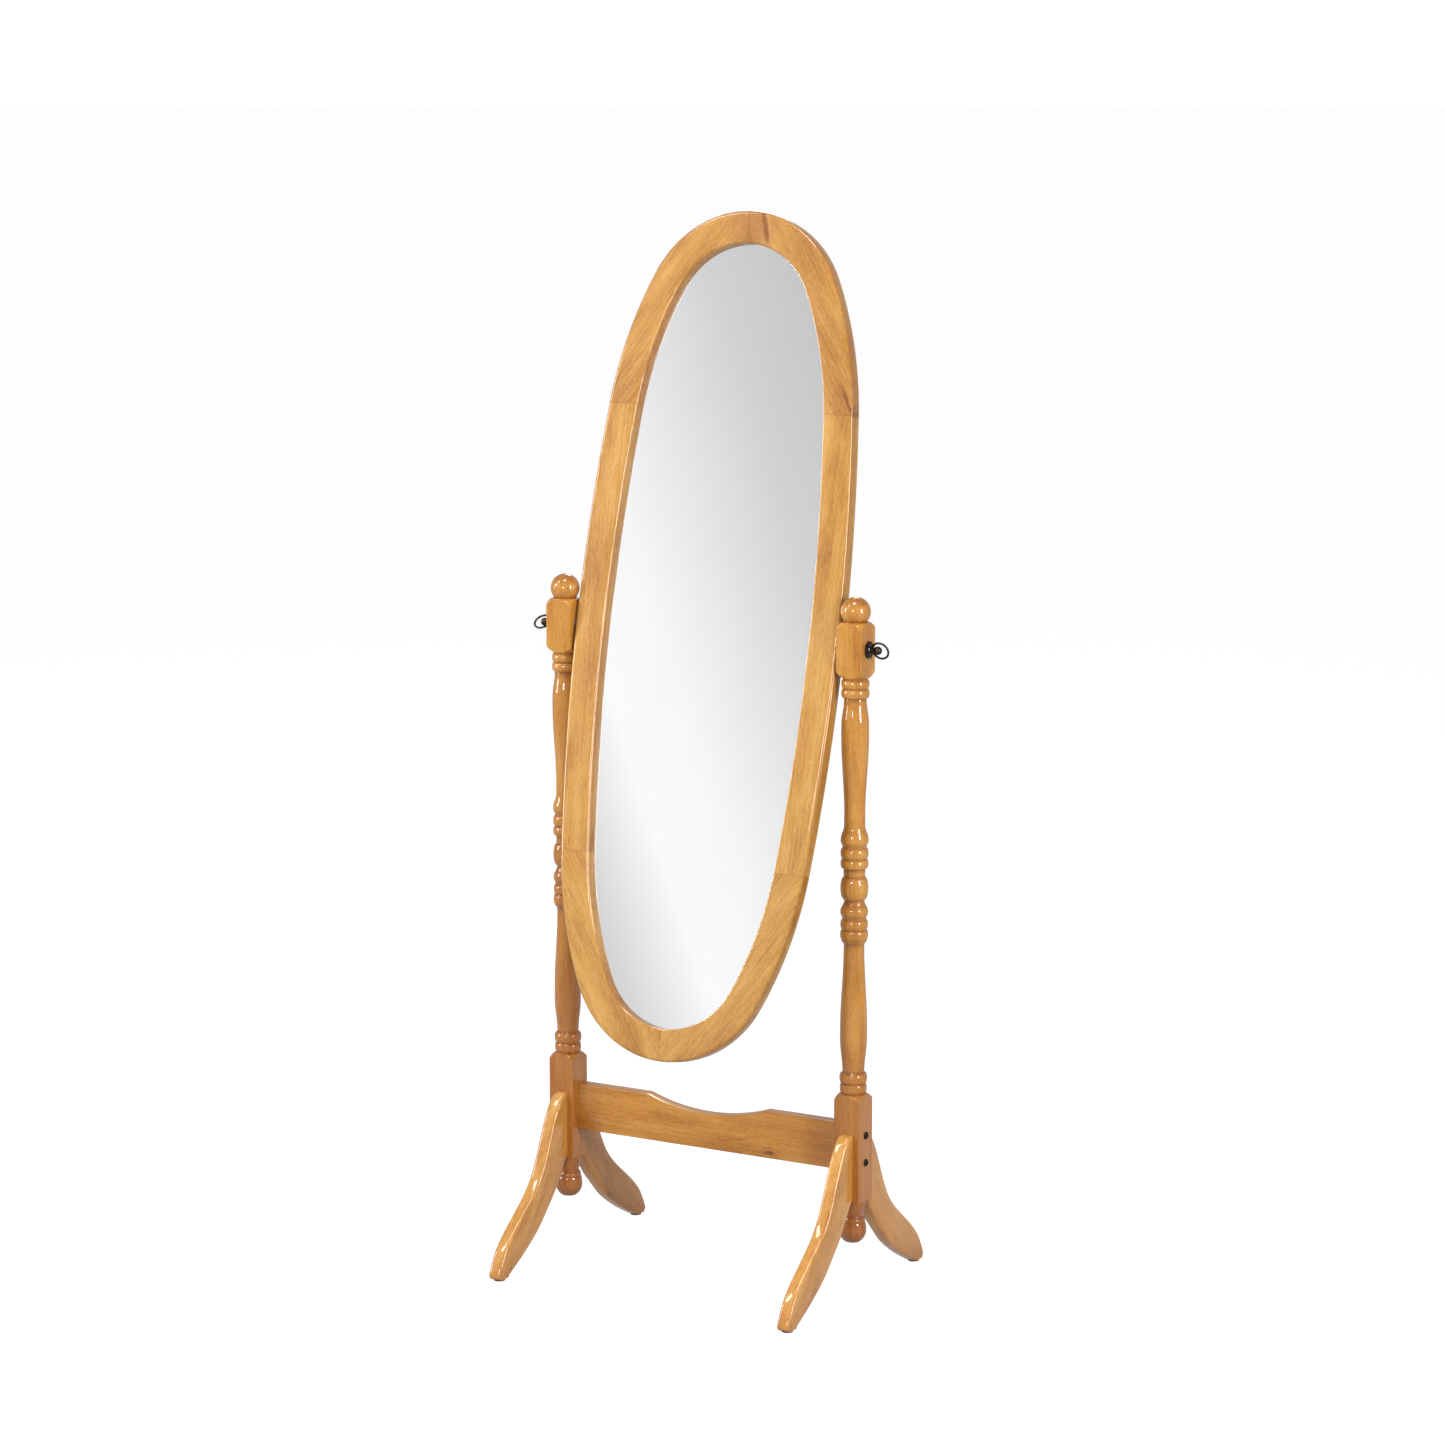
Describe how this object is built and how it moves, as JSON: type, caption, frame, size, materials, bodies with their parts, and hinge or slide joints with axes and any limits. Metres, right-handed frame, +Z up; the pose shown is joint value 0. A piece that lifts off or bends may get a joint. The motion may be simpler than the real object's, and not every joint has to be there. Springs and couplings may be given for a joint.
{
  "type": "cheval floor mirror",
  "caption": "Free-standing oval tilting mirror in a wooden frame, held by ring-pull knob screws between turned posts on curved legs with a stretcher.",
  "frame": {"origin": "on the floor, at the centre of the stand", "axes": "+X to the right seen from the front, +Y to the back, +Z up; the mirror faces -Y"},
  "size_m": [0.5716, 0.4064, 1.505],
  "materials": {
    "post_wood": "gloss",
    "finial_wood": "gloss",
    "leg_wood": "gloss",
    "rail_wood": "gloss",
    "frame_wood": "gloss",
    "dowel_wood": "matte",
    "hardboard": "matte",
    "mirror": "polished",
    "black_bolt": "satin",
    "zinc_steel": "satin",
    "insert_brass": "satin",
    "dark_bronze": "satin",
    "pad_rubber": "matte",
    "spacer_nylon": "matte"
  },
  "bodies": {
    "stand": {"left_post": "post_wood", "right_post": "post_wood", "left_drop_finial": "finial_wood", "right_drop_finial": "finial_wood", "stretcher": "rail_wood", "front_left_leg": "leg_wood", "rear_left_leg": "leg_wood", "front_right_leg": "leg_wood", "rear_right_leg": "leg_wood", "leg_dowels": "dowel_wood", "stretcher_bolts": "black_bolt", "stretcher_nuts": "zinc_steel", "foot_pads": "pad_rubber", "left_spacer": "spacer_nylon", "right_spacer": "spacer_nylon"},
    "mirror_frame": {"frame_left_side": "frame_wood", "frame_right_side": "frame_wood", "frame_top_left": "frame_wood", "frame_top_right": "frame_wood", "frame_bottom_left": "frame_wood", "frame_bottom_right": "frame_wood", "frame_dowels": "dowel_wood", "mirror_glass": "mirror", "backing_panel": "hardboard", "back_clips": "zinc_steel", "clip_screws": "zinc_steel", "left_pivot_insert": "insert_brass", "right_pivot_insert": "insert_brass"},
    "left_rosette_washer": {"left_rosette": "dark_bronze"},
    "right_rosette_washer": {"right_rosette": "dark_bronze"},
    "left_knob": {"left_knob_screw": "dark_bronze", "left_ring": "dark_bronze"},
    "right_knob": {"right_knob_screw": "dark_bronze", "right_ring": "dark_bronze"}
  },
  "joints": [
    {"name": "mirror_tilt", "type": "hinge", "parent": "stand", "child": "mirror_frame", "pos_m": [0, 0, 0.92], "axis": [1, 0, 0], "continuous": true},
    {"name": "left_rosette_slide", "type": "slide", "parent": "stand", "child": "left_rosette_washer", "axis": [-1, 0, 0], "range_m": [0, 0.003]},
    {"name": "left_knob_turn", "type": "hinge", "parent": "left_rosette_washer", "child": "left_knob", "pos_m": [-0.26, 0, 0.92], "axis": [1, 0, 0], "range_deg": [0, 1080]},
    {"name": "right_rosette_slide", "type": "slide", "parent": "stand", "child": "right_rosette_washer", "axis": [1, 0, 0], "range_m": [0, 0.003]},
    {"name": "right_knob_turn", "type": "hinge", "parent": "right_rosette_washer", "child": "right_knob", "pos_m": [0.26, 0, 0.92], "axis": [-1, 0, 0], "range_deg": [0, 1080]}
  ],
  "couplings": [
    {"joint": "left_rosette_slide", "follows": "left_knob_turn", "m_per_rad": 0.00015915},
    {"joint": "right_rosette_slide", "follows": "right_knob_turn", "m_per_rad": 0.00015915}
  ]
}
